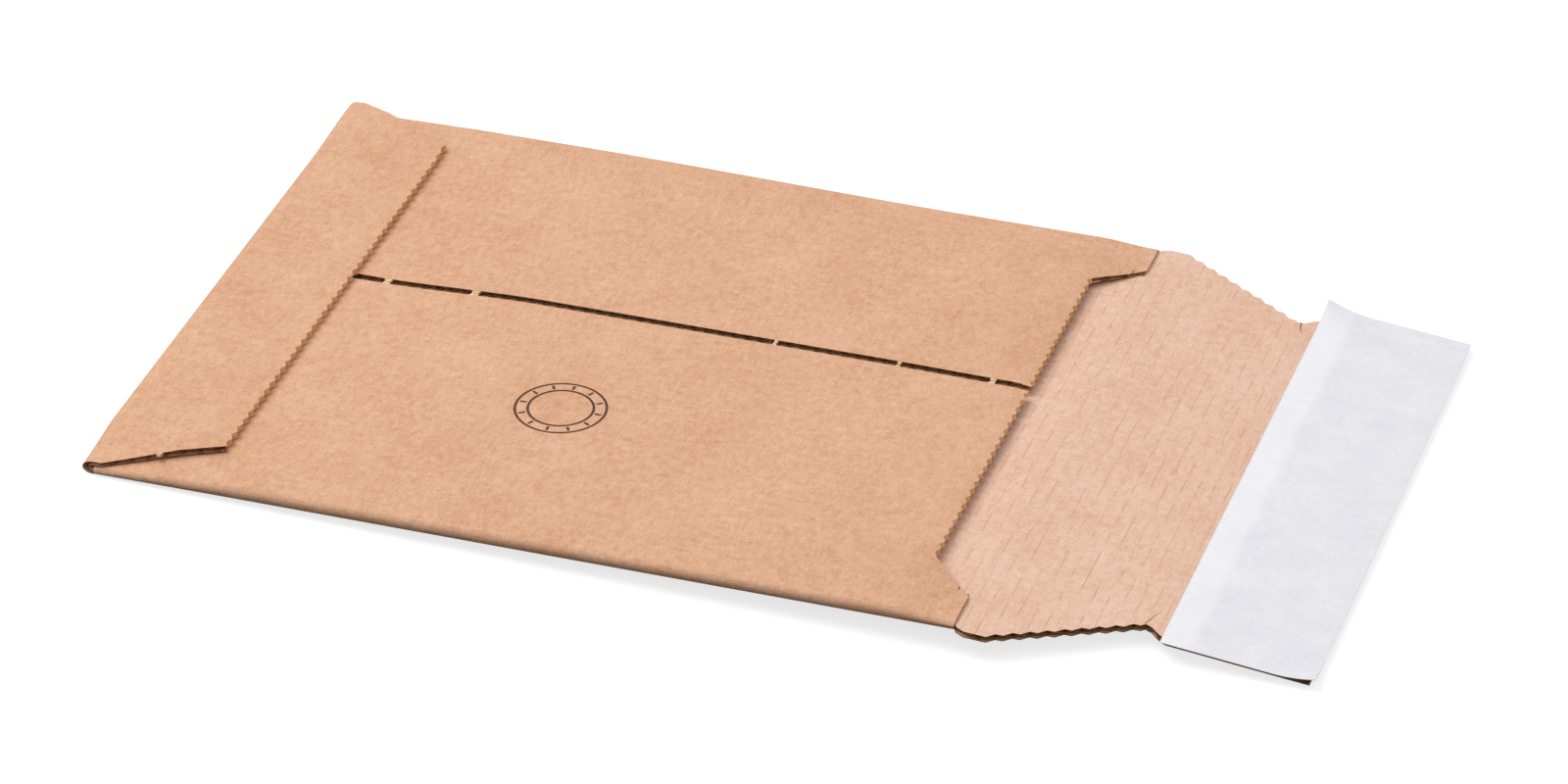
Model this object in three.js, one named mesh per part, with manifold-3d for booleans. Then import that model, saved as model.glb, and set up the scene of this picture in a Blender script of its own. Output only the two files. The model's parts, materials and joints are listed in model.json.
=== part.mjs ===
// A corrugated board mailer for a compact disc, in millimetres, lying on a table with its seam side up and its
// closure flap open. One sheet of E-flute board is folded into a flat pocket. Two side panels come over from the
// long edges and stop either side of an off-centre slit, and a bottom flap is glued over them. The pocket leans on
// its bottom fold and on the closure flap, which hangs a little from its crease and carries a strip of adhesive
// under a paper liner. +Z is up, +X runs from the bottom fold to the closure flap, and the flutes run along Y.
import * as THREE from 'three';
import { mergeVertices } from 'three/addons/utils/BufferGeometryUtils.js';
import Module from 'manifold-3d';

const wasm = await Module();
wasm.setup();

// The board
const BOARD = 1.5;                 // thickness of the board
const FACING = 0.25;               // paper on each side of the fluting
const MEDIUM = 0.22;               // paper of the fluting itself
const FLUTE_PITCH = 3.2;           // from one flute to the next
const TOOTH_PITCH = 3.1;           // teeth of the knife that cuts along the flutes
const TOOTH_DEPTH = 0.8;

// The pocket
const POCKET_LENGTH = 196.2;       // bottom fold to closure crease
const POCKET_WIDTH = 160;          // over the two long folds
const FOLD_GAP = 0.2;              // between the two layers at a long fold
const PANEL_GAP = 0.4;             // between the front panel and the side panels under the bottom flap
const CREASE_INSET = 13;           // second crease, in from each long fold
const PANEL_LIFT = 1.4;            // how far the side panels spring up past the bottom flap
const MOUTH_LIFT = 1.1;            // and at the mouth
const LIFT_START = 32;             // from the bottom fold to where they begin to rise
const LIFT_RUN = 42;               // length over which they rise
const MOUTH_RUN = 38;              // length over which they settle towards the mouth
const SLIT_PLACE = 10.2;           // middle of the slit, off the pocket's centre line
const SLIT_WIDTH = 2.1;
const MOUTH_SETBACK = 10;          // mouth edge of the side panels, back from the crease
const MOUTH_HALF = 59.7;           // half the length of the mouth edge
const MOUTH_CUT_LIFT = 0.15;       // the mouth's cut stops this far above the front panel
const NICK_PLACES = [-62, -41, 29.5, 58, 79.5];   // uncut bits left across the slit
const NICK_WIDTH = 1.7;
const NICK_THICK = 0.45;

// The bottom flap
const BOTTOM_FLAP_DEPTH = 28.8;    // fold to toothed edge
const BOTTOM_FLAP_HALF = 67.3;     // half the length of its toothed edge
const BOTTOM_FOLD_HALF = 79.3;     // half its length at the fold
const BOTTOM_FOLD_SHOULDER = 4.4;  // it keeps that width this far from the fold
const GLUE = 0.1;
const GLUE_SEAT = 0.05;            // left on each side of glue, adhesive and liner
const GLUE_WIDTH = 9;
const GLUE_LENGTH = 44;
const GLUE_FROM_EDGE = 7;          // glue to the flap's toothed edge

// The closure flap, with s measured from the crease
const FLAP_LENGTH = 73.6;
const FLAP_WIDEST = 81;            // half width just past the crease
const FLAP_SHOULDER_START = 2.6;
const FLAP_SHOULDER_END = 7.4;
const TEAR_LINE = 37.4;            // narrowest place, where the flap is torn open
const TEAR_HALF = 63.4;
const FLARE_END = 42.2;            // the ends spread again from the tear line to here
const FLARE_HALF = 66.7;
const FLARE_BULGE = 1;             // how far the flare's curve falls short of its corner
const TEAR_CUT_LENGTH = 5.2;       // short cuts that start the tear
const TEAR_CUT_WIDTH = 0.3;
const TEAR_CUT_LEAN = 1;           // how far the cut's tip leans from the tear line
const CREASE_GAP = 0.6;            // crease left open between pocket and flap
const FLAP_DROOP = 3.8;            // degrees that the flap hangs below the pocket's plane
const TEAR_BEND = 2.7;             // degrees more beyond the tear line

// What closes it
const ADHESIVE_START = 44.4;
const ADHESIVE_WIDTH = 26;
const ADHESIVE_LENGTH = 128;
const LINER_START = 41.4;
const LINER_WIDTH = 33.4;
const LINER_NEAR = 68.6;           // liner's near and far ends, from the centre line
const LINER_FAR = 72.4;
const LINER = 0.12;
const CLOSED_CLEARANCE = 0.3;      // liner to side panels, when the flap is folded over

// How finely curves are drawn
const ARC_STEPS = 7;
const INNER_STEPS = 2;
const FLARE_STEPS = 4;
const LIFT_STEPS = 24;
const WELD = 1e-5;
const degrees = THREE.MathUtils.degToRad;

// Heights and places that follow, in the pocket's own plane, with its underside at 0
const halfLength = POCKET_LENGTH / 2;
const halfWidth = POCKET_WIDTH / 2;
const creaseLine = halfWidth - CREASE_INSET;
const panelUnder = BOARD + PANEL_GAP;
const panelTop = panelUnder + BOARD;
const flapUnder = panelTop + GLUE + 2 * GLUE_SEAT;
const flapTop = flapUnder + BOARD;
const bottomRadius = flapTop / 2;
const longRadius = (2 * BOARD + FOLD_GAP) / 2;
const bottomCentre = -halfLength + bottomRadius;
const panelStart = bottomCentre + FOLD_GAP;
const bottomFlapEdge = -halfLength + BOTTOM_FLAP_DEPTH;
const mouthEdge = halfLength - MOUTH_SETBACK;
const stack = GLUE + LINER + 2 * GLUE_SEAT;
const hingeHeight = (BOARD + panelTop + PANEL_LIFT + stack + CLOSED_CLEARANCE) / 2;

// Solids from three.js geometry, joined and cut as closed bodies
function solid(geometry) {
  const bare = geometry.clone();
  bare.deleteAttribute('normal');
  bare.deleteAttribute('uv');
  const merged = mergeVertices(bare, WELD);
  return new wasm.Manifold(new wasm.Mesh({
    numProp: 3,
    vertProperties: Float32Array.from(merged.attributes.position.array),
    triVerts: Uint32Array.from(merged.index.array),
  }));
}

function bodyGeometry(body, move = (point) => point) {
  const { vertProperties, triVerts } = body.getMesh();
  const positions = new Float32Array(vertProperties.length);
  for (let i = 0; i < vertProperties.length; i += 3) {
    positions.set(move([vertProperties[i], vertProperties[i + 1], vertProperties[i + 2]]), i);
  }
  const geometry = new THREE.BufferGeometry();
  geometry.setAttribute('position', new THREE.BufferAttribute(positions, 3));
  geometry.setIndex(new THREE.BufferAttribute(Uint32Array.from(triVerts), 1));
  geometry.computeVertexNormals();
  return geometry;
}

function outlineShape(points) {
  return new THREE.Shape(points.map(([a, b]) => new THREE.Vector2(a, b)));
}

// An outline seen from above, raised from z0 to z1
function plate(points, z0, z1) {
  const geometry = new THREE.ExtrudeGeometry(outlineShape(points), { depth: z1 - z0, bevelEnabled: false });
  return geometry.translate(0, 0, z0);
}

// An outline in X and Z, drawn out along Y from y0 to y1
function alongY(points, y0, y1) {
  const geometry = new THREE.ExtrudeGeometry(outlineShape(points), { depth: y1 - y0, bevelEnabled: false });
  const turn = new THREE.Matrix4().makeBasis(
    new THREE.Vector3(1, 0, 0), new THREE.Vector3(0, 0, 1), new THREE.Vector3(0, -1, 0));
  return geometry.applyMatrix4(turn).translate(0, y1, 0);
}

// An outline in Y and Z, drawn out along X from x0 to x1 in steps
function alongX(points, x0, x1, steps) {
  const geometry = new THREE.ExtrudeGeometry(outlineShape(points), { depth: x1 - x0, steps, bevelEnabled: false });
  const turn = new THREE.Matrix4().makeBasis(
    new THREE.Vector3(0, 1, 0), new THREE.Vector3(0, 0, 1), new THREE.Vector3(1, 0, 0));
  return geometry.applyMatrix4(turn).translate(x0, 0, 0);
}

function arc(cx, cy, radius, from, to, steps = ARC_STEPS) {
  return Array.from({ length: steps + 1 }, (_, i) => {
    const angle = from + (to - from) * (i / steps);
    return [cx + radius * Math.cos(angle), cy + radius * Math.sin(angle)];
  });
}

// Teeth along a straight cut, which dip to the left of its direction
function toothed([x0, y0], [x1, y1], pitch, depth) {
  const length = Math.hypot(x1 - x0, y1 - y0);
  const teeth = Math.max(1, Math.round(length / pitch));
  const dx = (x1 - x0) / teeth;
  const dy = (y1 - y0) / teeth;
  const side = [-(y1 - y0) / length * depth, (x1 - x0) / length * depth];
  const points = [];
  for (let i = 0; i < teeth; i += 1) {
    points.push([x0 + dx * i, y0 + dy * i]);
    points.push([x0 + dx * (i + 0.5) + side[0], y0 + dy * (i + 0.5) + side[1]]);
  }
  points.push([x1, y1]);
  return points;
}

// The open channels over and under the fluting, between x0 and x1, in board whose underside is at z(x)
function channels(x0, x1, y0, y1, z) {
  const height = BOARD - 2 * FACING;
  const halfBase = FLUTE_PITCH / 2 - MEDIUM;
  const count = Math.floor((x1 - x0 - 2 * halfBase) / (FLUTE_PITCH / 2));
  const cuts = [];
  for (let i = 0; i <= count; i += 1) {
    const x = x0 + halfBase + i * FLUTE_PITCH / 2;
    const base = i % 2 ? z(x) + BOARD - FACING : z(x) + FACING;
    const tip = base + (i % 2 ? -1 : 1) * (height - MEDIUM);
    const triangle = i % 2
      ? [[x - halfBase, base], [x, tip], [x + halfBase, base]]
      : [[x - halfBase, base], [x + halfBase, base], [x, tip]];
    cuts.push(solid(alongY(triangle, y0, y1)));
  }
  return cuts;
}

// How far the side panels stand up at a place along the pocket
function smooth(from, to, x) {
  return THREE.MathUtils.smoothstep(x, from, to);
}

function liftAt(x) {
  const start = -halfLength + LIFT_START;
  const settle = (PANEL_LIFT - MOUTH_LIFT) * smooth(mouthEdge - MOUTH_RUN, mouthEdge, x);
  return PANEL_LIFT * smooth(start, start + LIFT_RUN, x) - settle;
}

function liftedShare(y) {
  const foldStart = halfWidth - longRadius;
  return THREE.MathUtils.clamp((foldStart - Math.abs(y)) / (foldStart - creaseLine), 0, 1);
}

// Front panel, both long folds and both side panels: one section drawn along the pocket
function wrappedPanels() {
  const foldStart = halfWidth - longRadius;
  const inner = longRadius - BOARD;
  const nearEdge = SLIT_PLACE - SLIT_WIDTH / 2;
  const farEdge = SLIT_PLACE + SLIT_WIDTH / 2;
  const section = [
    ...arc(-foldStart, longRadius, longRadius, Math.PI, 1.5 * Math.PI),
    ...arc(foldStart, longRadius, longRadius, 1.5 * Math.PI, 2.5 * Math.PI, 2 * ARC_STEPS),
    [creaseLine, panelTop],
    [farEdge, panelTop],
    [farEdge, panelUnder],
    [creaseLine, panelUnder],
    ...arc(foldStart, longRadius, inner, 0.5 * Math.PI, -0.5 * Math.PI, INNER_STEPS),
    ...arc(-foldStart, longRadius, inner, -0.5 * Math.PI, -1.5 * Math.PI, INNER_STEPS),
    [-creaseLine, panelUnder],
    [nearEdge, panelUnder],
    [nearEdge, panelTop],
    [-creaseLine, panelTop],
    ...arc(-foldStart, longRadius, longRadius, 0.5 * Math.PI, Math.PI).slice(0, -1),
  ];
  const sheet = alongX(section, panelStart, halfLength, LIFT_STEPS);
  const place = sheet.attributes.position;
  for (let i = 0; i < place.count; i += 1) {
    if (place.getZ(i) > longRadius) {
      place.setZ(i, place.getZ(i) + liftAt(place.getX(i)) * liftedShare(place.getY(i)));
    }
  }
  return solid(sheet);
}

// The side panels end in a toothed edge between two slanted corners
function mouthCut() {
  const beyond = halfLength + MOUTH_SETBACK;
  const edge = toothed([mouthEdge, MOUTH_HALF], [mouthEdge, -MOUTH_HALF], TOOTH_PITCH, -TOOTH_DEPTH);
  const outline = [
    ...edge,
    [halfLength, -creaseLine],
    [beyond, -creaseLine],
    [beyond, creaseLine],
    [halfLength, creaseLine],
  ];
  return solid(plate(outline, BOARD + MOUTH_CUT_LIFT, flapTop + PANEL_LIFT + BOARD));
}

function sidePanelChannels() {
  const under = (x) => panelUnder + liftAt(x);
  const nearEdge = SLIT_PLACE - SLIT_WIDTH / 2;
  const farEdge = SLIT_PLACE + SLIT_WIDTH / 2;
  const crushed = creaseLine - BOARD;
  const start = panelStart + FACING;
  const mouth = mouthEdge - TOOTH_DEPTH - FACING;
  const corner = mouthEdge + FACING;
  const end = halfLength - FACING;
  return [
    ...channels(start, mouth, -crushed, nearEdge + SLIT_WIDTH / 2, under),
    ...channels(start, mouth, farEdge - SLIT_WIDTH / 2, crushed, under),
    ...channels(corner, end, -crushed, -MOUTH_HALF + BOARD, under),
    ...channels(corner, end, MOUTH_HALF - BOARD, crushed, under),
  ];
}

// Bits of facing that hold across the slit
function nicks() {
  return NICK_PLACES.map((x) => {
    const top = panelTop + liftAt(x) - FACING / 2;
    const reach = SLIT_WIDTH / 2 + NICK_WIDTH / 2;
    const outline = [
      [x - NICK_WIDTH / 2, SLIT_PLACE - reach],
      [x + NICK_WIDTH / 2, SLIT_PLACE - reach],
      [x + NICK_WIDTH / 4, SLIT_PLACE],
      [x + NICK_WIDTH / 2, SLIT_PLACE + reach],
      [x - NICK_WIDTH / 2, SLIT_PLACE + reach],
      [x - NICK_WIDTH / 4, SLIT_PLACE],
    ];
    return solid(plate(outline, top - NICK_THICK, top));
  });
}

// Bottom fold and bottom flap, cut to a trapezium with a toothed inner edge
function bottomFlap() {
  const stub = bottomCentre + 2 * bottomRadius;
  const section = [
    [stub, 0],
    [stub, BOARD],
    ...arc(bottomCentre, bottomRadius, bottomRadius - BOARD, -0.5 * Math.PI, -1.5 * Math.PI),
    [bottomFlapEdge + BOARD, flapUnder],
    [bottomFlapEdge + BOARD, flapTop],
    ...arc(bottomCentre, bottomRadius, bottomRadius, 0.5 * Math.PI, 1.5 * Math.PI),
  ].reverse();
  const shoulder = -halfLength + BOTTOM_FOLD_SHOULDER;
  const outline = [
    [-halfLength - BOARD, -BOTTOM_FOLD_HALF],
    [shoulder, -BOTTOM_FOLD_HALF],
    ...toothed([bottomFlapEdge, -BOTTOM_FLAP_HALF], [bottomFlapEdge, BOTTOM_FLAP_HALF], TOOTH_PITCH, TOOTH_DEPTH),
    [shoulder, BOTTOM_FOLD_HALF],
    [-halfLength - BOARD, BOTTOM_FOLD_HALF],
  ];
  const flute = channels(bottomCentre, bottomFlapEdge - TOOTH_DEPTH, -halfWidth, halfWidth, () => flapUnder);
  return solid(alongY(section, -halfWidth, halfWidth))
    .intersect(solid(plate(outline, -BOARD, flapTop + BOARD)))
    .subtract(wasm.Manifold.union(flute));
}

function pocketBody() {
  const wrapped = wrappedPanels()
    .subtract(mouthCut())
    .subtract(wasm.Manifold.union(sidePanelChannels()));
  return wasm.Manifold.union([wrapped, ...nicks(), bottomFlap()]);
}

// Beyond the tear line everything on the flap bends down about that line's underside
function bendAtTear([s, y, z]) {
  if (s <= TEAR_LINE) {
    return [s, y, z];
  }
  const angle = degrees(TEAR_BEND);
  const along = s - TEAR_LINE;
  return [
    TEAR_LINE + along * Math.cos(angle) + z * Math.sin(angle),
    y,
    z * Math.cos(angle) - along * Math.sin(angle),
  ];
}

function flapOutline() {
  const slant = toothed([FLAP_SHOULDER_END, -FLAP_WIDEST], [TEAR_LINE, -TEAR_HALF], FLUTE_PITCH, TOOTH_DEPTH);
  const flare = new THREE.QuadraticBezierCurve(
    new THREE.Vector2(TEAR_LINE, -TEAR_HALF),
    new THREE.Vector2((TEAR_LINE + FLARE_END) / 2, -FLARE_HALF + FLARE_BULGE),
    new THREE.Vector2(FLARE_END, -FLARE_HALF),
  ).getPoints(FLARE_STEPS).map((p) => [p.x, p.y]);
  const near = [
    [CREASE_GAP, -halfWidth],
    [FLAP_SHOULDER_START, -FLAP_WIDEST],
    ...slant,
    ...flare.slice(1),
    [FLAP_LENGTH, -FLARE_HALF],
  ];
  const far = near.map(([s, y]) => [s, -y]).reverse();
  return [...near, ...far];
}

function tearCut(side) {
  const outline = [
    [TEAR_LINE - TEAR_CUT_WIDTH / 2, TEAR_HALF + BOARD],
    [TEAR_LINE - TEAR_CUT_WIDTH / 2, TEAR_HALF - TEAR_CUT_LENGTH / 2],
    [TEAR_LINE + TEAR_CUT_LEAN, TEAR_HALF - TEAR_CUT_LENGTH],
    [TEAR_LINE + TEAR_CUT_WIDTH / 2, TEAR_HALF - TEAR_CUT_LENGTH / 2],
    [TEAR_LINE + TEAR_CUT_WIDTH / 2, TEAR_HALF + BOARD],
  ];
  const points = outline.map(([s, y]) => [s, side * y]);
  return solid(plate(side > 0 ? points : points.reverse(), -BOARD, 2 * BOARD));
}

function closureFlapBody() {
  const board = solid(plate(flapOutline(), 0, BOARD));
  const flute = channels(CREASE_GAP + FACING, FLAP_LENGTH - FACING, -FLAP_WIDEST - BOARD, FLAP_WIDEST + BOARD, () => 0);
  return board.subtract(wasm.Manifold.union([...flute, tearCut(1), tearCut(-1)]));
}

function strip(s0, width, y0, y1, z0, thickness) {
  return solid(plate([[s0, y0], [s0 + width, y0], [s0 + width, y1], [s0, y1]], z0, z0 + thickness));
}

function glueLine(y0, y1) {
  const x1 = bottomFlapEdge - GLUE_FROM_EDGE;
  return strip(x1 - GLUE_WIDTH, GLUE_WIDTH, y0, y1, panelTop + GLUE_SEAT, GLUE);
}

// Finishes
const kraft = new THREE.MeshStandardMaterial({ color: 0xd9a982, roughness: 0.88, metalness: 0 });
const kraftInside = new THREE.MeshStandardMaterial({ color: 0xe2b899, roughness: 0.9, metalness: 0 });
const liner = new THREE.MeshStandardMaterial({ color: 0xe6e6ec, roughness: 0.5, metalness: 0 });
const adhesive = new THREE.MeshStandardMaterial({ color: 0xe8e0c8, roughness: 0.3, metalness: 0 });
const glue = new THREE.MeshStandardMaterial({ color: 0xe9dcc0, roughness: 0.6, metalness: 0 });

function named(name, geometry, material) {
  const mesh = new THREE.Mesh(geometry, material);
  mesh.name = name;
  return mesh;
}

// The pocket's own plane, which holds the pocket and the turned closure flap
const pocketPlane = new THREE.Group();
pocketPlane.add(named('pocket', bodyGeometry(pocketBody()), kraft));
const glueInner = SLIT_PLACE + SLIT_WIDTH;
const glueFar = glueLine(glueInner, glueInner + GLUE_LENGTH);
const glueNear = glueLine(-glueInner - GLUE_LENGTH, -glueInner);
pocketPlane.add(named('bottom_flap_glue_far', bodyGeometry(glueFar), glue));
pocketPlane.add(named('bottom_flap_glue_near', bodyGeometry(glueNear), glue));

const hinge = new THREE.Group();
hinge.position.set(halfLength, 0, hingeHeight);
hinge.rotation.y = degrees(FLAP_DROOP);
const flap = new THREE.Group();
flap.position.z = -hingeHeight;
hinge.add(flap);
pocketPlane.add(hinge);
const adhesiveBody = strip(ADHESIVE_START, ADHESIVE_WIDTH, -ADHESIVE_LENGTH / 2, ADHESIVE_LENGTH / 2,
  BOARD + GLUE_SEAT, GLUE);
const linerBody = strip(LINER_START, LINER_WIDTH, -LINER_NEAR, LINER_FAR, BOARD + 2 * GLUE_SEAT + GLUE, LINER);
flap.add(named('closure_flap', bodyGeometry(closureFlapBody(), bendAtTear), kraftInside));
flap.add(named('adhesive_strip', bodyGeometry(adhesiveBody, bendAtTear), adhesive));
flap.add(named('release_liner', bodyGeometry(linerBody, bendAtTear), liner));

// The pocket leans on its bottom fold and on the flap's outer edge
pocketPlane.updateMatrixWorld(true);
const flapEnd = new THREE.Vector3(...bendAtTear([FLAP_LENGTH, 0, 0])).applyMatrix4(flap.matrixWorld);
const across = flapEnd.x - bottomCentre;
const below = bottomRadius - flapEnd.z;
const pitch = Math.atan2(below, across) - Math.asin(bottomRadius / Math.hypot(across, below));
const table = new THREE.Group();
pocketPlane.rotation.y = -pitch;
table.add(pocketPlane);

// The origin is on the table, under the middle of the outline
const mailer = new THREE.Group();
const reach = new THREE.Box3().setFromObject(table, true);
table.position.set(-(reach.min.x + reach.max.x) / 2, -(reach.min.y + reach.max.y) / 2, -reach.min.z);
mailer.add(table);

export default mailer;
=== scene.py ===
# %% [markdown]
# # A corrugated board mailer for a compact disc
#
# The mailer is one sheet of thin corrugated board, folded flat. A front panel lies underneath, two side
# panels are folded over it from the long edges, and a bottom flap is glued over their ends. The closure
# flap is open, with a strip of adhesive under a white paper liner. Corrugated board is two flat papers with
# a waved paper between them, and that is also how it is built here: an outer paper, an inner paper and the
# waved fluting, each its own thin sheet. The cut edges then show real flutes, and every edge has the
# thickness that paper has.

import json
import math
import random

import bmesh
import bpy
from mathutils import Matrix, Vector


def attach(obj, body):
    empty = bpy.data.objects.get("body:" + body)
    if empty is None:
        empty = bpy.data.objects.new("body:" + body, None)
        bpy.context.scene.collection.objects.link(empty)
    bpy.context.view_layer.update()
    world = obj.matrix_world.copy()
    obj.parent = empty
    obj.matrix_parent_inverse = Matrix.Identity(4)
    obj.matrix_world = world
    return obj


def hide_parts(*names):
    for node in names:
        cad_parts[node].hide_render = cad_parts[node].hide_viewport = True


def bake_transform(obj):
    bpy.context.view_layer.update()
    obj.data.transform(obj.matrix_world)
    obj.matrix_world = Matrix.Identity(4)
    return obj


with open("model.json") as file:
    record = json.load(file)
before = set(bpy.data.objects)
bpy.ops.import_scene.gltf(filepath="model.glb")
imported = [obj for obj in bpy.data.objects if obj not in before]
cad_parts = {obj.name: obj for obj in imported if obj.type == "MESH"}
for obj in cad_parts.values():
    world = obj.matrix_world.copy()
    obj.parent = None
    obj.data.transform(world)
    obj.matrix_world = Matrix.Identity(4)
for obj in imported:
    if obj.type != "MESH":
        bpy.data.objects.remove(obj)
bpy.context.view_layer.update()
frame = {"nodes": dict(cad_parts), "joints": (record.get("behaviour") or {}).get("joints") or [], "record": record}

# %% [markdown]
# ## Sizes
# All shaping is done in millimetres, in the pocket's own plane: x runs from the bottom fold to the closure
# flap, y across the pocket, and z up from the underside of the front panel. A finished mesh is brought to
# metres and to its place on the table in one step, so each object stays at the origin.

# %% Sizes of the board and of the pocket, in millimetres
BOARD = 1.5
PAPER = 0.25
FLUTE_PITCH = 3.2
POCKET_END = 98.1          # the closure crease, and half of the pocket's length
LONG_FOLD_START = 78.4     # where the flat front panel turns into the rounded long folds
LONG_FOLD_RADIUS = 1.6
PANEL_TOP = 3.4            # top of the side panels under the bottom flap
SECOND_CREASE = 67.0       # crease beside each long fold
PANEL_START = -95.35       # left end of the flat front panel
FRONT_END = 95.1           # the front panel's papers stop here, and the closure flap's go on
MOUTH_EDGE = 88.1
MOUTH_HALF = 59.7          # half the length of the mouth's toothed edge
CORNER_END = 69.3          # where the slanted corner beside it reaches the closure crease
SLIT_NEAR = 9.15           # the slit between the side panels
SLIT_FAR = 11.25
SLIT_MIDDLE = (SLIT_NEAR + SLIT_FAR) / 2
TOOTH_PITCH = 3.1
TOOTH_DEPTH = 0.75
BOTTOM_CENTRE = -95.55     # middle of the bottom fold's half circle
BOTTOM_RADIUS = 2.55
BOTTOM_HALF = 79.3         # half the bottom flap's length at its fold, as far as its shoulder
BOTTOM_SHOULDER = -93.7
BOTTOM_EDGE = -69.3        # the bottom flap's toothed edge
BOTTOM_EDGE_HALF = 67.3
HALF_BOARD = BOARD / 2
TOUCH = 0.01               # two places closer than this are the same place
print("board", BOARD, "mm, papers", PAPER, "mm, a flute every", FLUTE_PITCH, "mm")

# %% Where the pocket's plane lies
MM = 0.001
MICROMETRES = 1e6
HINGE_HEIGHT = 3.46
front_face = frame["record"]["mounts"][0]
crease = next(joint for joint in frame["joints"] if joint["name"] == "closure_crease")
pitch = math.atan2(front_face["axis"][0], -front_face["axis"][2])
plane_place = Matrix.Translation(front_face["pos_m"]) @ Matrix.Rotation(-pitch, 4, "Y")
pocket_place = plane_place @ Matrix.Scale(MM, 4)
hinge_miss = (pocket_place @ Vector((POCKET_END, 0, HINGE_HEIGHT)) - Vector(crease["pos_m"])).length
print(f"the pocket leans {math.degrees(pitch):.2f} degrees")
print(f"its crease is {hinge_miss * MICROMETRES:.1f} micrometres from the hinge")

# %% [markdown]
# ## Working by hand, in code
# In the edit window one would pick an edge with the mouse and pull it. These small helpers do the same:
# they pick vertices or edges by their place, pull and widen edges, and cut a sheet across where it is going
# to bend.

# %% Opening a piece and picking parts of it
def edit(piece):
    """Opens a piece in edit mode with nothing selected."""
    bpy.ops.object.select_all(action="DESELECT")
    bpy.context.view_layer.objects.active = piece
    piece.select_set(True)
    bpy.ops.object.mode_set(mode="EDIT")
    bpy.ops.mesh.select_all(action="DESELECT")


def close():
    """Goes back to object mode."""
    bpy.ops.object.mode_set(mode="OBJECT")


def pick_edges(piece, test, rim_only=False, by_middle=False):
    """Selects the edges of which both ends, or the middle, pass the test, on the sheet's rim or anywhere."""
    bpy.ops.mesh.select_mode(type="EDGE")
    bpy.ops.mesh.select_all(action="DESELECT")
    mesh = bmesh.from_edit_mesh(piece.data)
    if by_middle:
        found = [edge for edge in mesh.edges if test((edge.verts[0].co + edge.verts[1].co) / 2)]
    else:
        found = [edge for edge in mesh.edges if all(test(vertex.co) for vertex in edge.verts)]
    found = [edge for edge in found if edge.is_boundary or not rim_only]
    for edge in found:
        edge.select_set(True)
    bmesh.update_edit_mesh(piece.data)


def pick_points(piece, test):
    """Selects the vertices that pass the test."""
    bpy.ops.mesh.select_mode(type="VERT")
    bpy.ops.mesh.select_all(action="DESELECT")
    mesh = bmesh.from_edit_mesh(piece.data)
    for vertex in mesh.verts:
        vertex.select_set(test(vertex.co))
    mesh.select_flush_mode()
    bmesh.update_edit_mesh(piece.data)


# %% Starting, pulling, cutting and toothing a sheet
def start_sheet(name, x0, x1, half_width, z):
    """A flat rectangle between x0 and x1 at height z."""
    bpy.ops.object.select_all(action="DESELECT")
    bpy.ops.mesh.primitive_plane_add(size=1, location=((x0 + x1) / 2, 0, z))
    piece = bpy.context.object
    piece.name = name
    piece.data.name = name
    piece.scale = (x1 - x0, 2 * half_width, 1)
    bpy.ops.object.transform_apply(location=True, rotation=True, scale=True)
    return piece


def pull(offset, widen=1):
    """Extrudes the picked edges by an offset, and widens the new ones across the sheet."""
    bpy.ops.mesh.extrude_region_move(TRANSFORM_OT_translate={"value": offset})
    if widen != 1:
        bpy.ops.transform.resize(value=(1, widen, 1))


CUT_THRESHOLD = 0.0001


def cut_across(places, direction):
    """Cuts the whole sheet at each place along a direction, so that it can bend there."""
    normal = Vector(direction)
    for place in places:
        bpy.ops.mesh.select_all(action="SELECT")
        bpy.ops.mesh.bisect(plane_co=normal * place, plane_no=normal, threshold=CUT_THRESHOLD)


def cut_teeth(piece, on_edge, length):
    """Splits one straight edge into the teeth of the cutting knife, and moves every second point."""
    pick_edges(piece, on_edge)
    teeth = round(length / TOOTH_PITCH)
    bpy.ops.mesh.subdivide(number_cuts=2 * teeth - 1)
    mesh = bmesh.from_edit_mesh(piece.data)
    row = sorted((v.co.y for v in mesh.verts if on_edge(v.co)))
    moved = set(row[1::2])
    pick_points(piece, lambda co: on_edge(co) and co.y in moved)
    bpy.ops.transform.translate(value=(-TOOTH_DEPTH, 0, 0))
    return teeth


# %% Giving a sheet its thickness and its place
def thicken(piece, thickness):
    """Gives a sheet a paper's thickness on its inner side, and its cut rim the second finish."""
    bpy.context.view_layer.objects.active = piece
    paper = piece.modifiers.new("paper", "SOLIDIFY")
    paper.thickness = thickness
    paper.offset = -1
    paper.material_offset_rim = 1
    bpy.ops.object.modifier_apply(modifier=paper.name)


def smooth_shading(piece, degrees):
    """Smooths the faces that meet at less than this angle, and leaves the sharper edges sharp."""
    bpy.ops.object.select_all(action="DESELECT")
    bpy.context.view_layer.objects.active = piece
    piece.select_set(True)
    bpy.ops.object.shade_smooth_by_angle(angle=math.radians(degrees))


def face_outwards(piece, probe, outward):
    """Turns the sheet's faces so that those that the probe finds look the way outward says."""
    edit(piece)
    bpy.ops.mesh.select_all(action="SELECT")
    bpy.ops.mesh.normals_make_consistent(inside=False)
    mesh = bmesh.from_edit_mesh(piece.data)
    facing = [face.normal.dot(Vector(outward)) for face in mesh.faces if probe(face.calc_center_median())]
    if sum(facing) < 0:
        bpy.ops.mesh.flip_normals()
    close()


# %% [markdown]
# ## Colours
# Colours are written as they are seen, in the 0 to 255 steps of a screen, and turned into the linear values that
# Blender's shaders take. The board is browner outside than inside. Its cut rims are darkened with painted shade,
# and the crushed walls under the knife's teeth are lightened with painted light on top of their paler fibres.

# %% Colours as seen
def seen(red, green, blue):
    """The linear colour of a colour as a screen shows it."""
    def linear(step):
        value = step / 255
        return value / 12.92 if value <= 0.04045 else ((value + 0.055) / 1.055) ** 2.4
    return (linear(red), linear(green), linear(blue), 1)


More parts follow.
